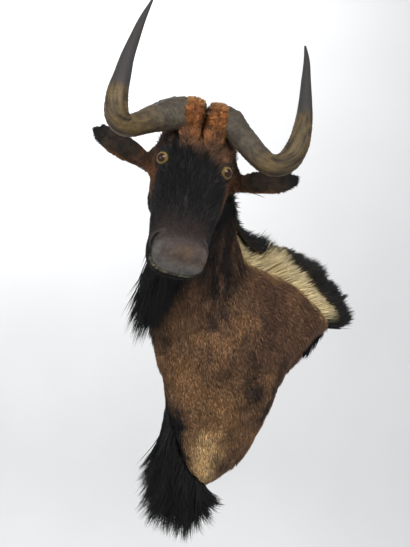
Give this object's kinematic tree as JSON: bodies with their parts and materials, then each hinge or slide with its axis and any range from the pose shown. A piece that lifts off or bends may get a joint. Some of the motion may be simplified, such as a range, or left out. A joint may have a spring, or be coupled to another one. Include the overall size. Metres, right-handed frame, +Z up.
{
  "type": "mounted wildebeest head and shoulders",
  "caption": "Taxidermy shoulder mount of a black wildebeest bull with hooked horns, mane, beard and chest hair, on a flat back that hangs on a wall.",
  "frame": {"origin": "on the flat back of the wooden board, near its middle, where it rests on the wall", "axes": "+Y into the wall, +Z up, +X to the right as seen by somebody facing the mount"},
  "size_m": [0.6548, 0.5901, 1.2853],
  "materials": {
    "coat": "short brown hair on hide",
    "dark_face": "short black hair on hide",
    "nose_skin": "dark brown hair and grey bare skin",
    "black_hair": "long coarse black hair",
    "cream_hair": "stiff cream hair with black tips",
    "rust_hair": "dense rusty hair",
    "horn": "fibrous horn, smooth and dark towards the tips",
    "eye": "glass eye, painted behind: amber with a dark pupil",
    "board": "plain sanded plywood",
    "steel": "bare"
  },
  "bodies": {
    "root": {"shoulder": "coat", "neck_lower": "coat", "neck_upper": "coat", "head": "dark_face", "lower_jaw": "dark_face", "ear_left": "dark_face", "ear_right": "dark_face", "muzzle": "nose_skin", "beard": "black_hair", "chest_tuft": "black_hair", "face_brush": "black_hair", "mane_neck": "cream_hair", "mane_withers": "cream_hair", "forelock_left": "rust_hair", "forelock_right": "rust_hair", "horn_left": "horn", "horn_right": "horn", "eye_left": "eye", "eye_right": "eye", "back_board": "board", "hanger_plate": "steel"}
  },
  "joints": []
}
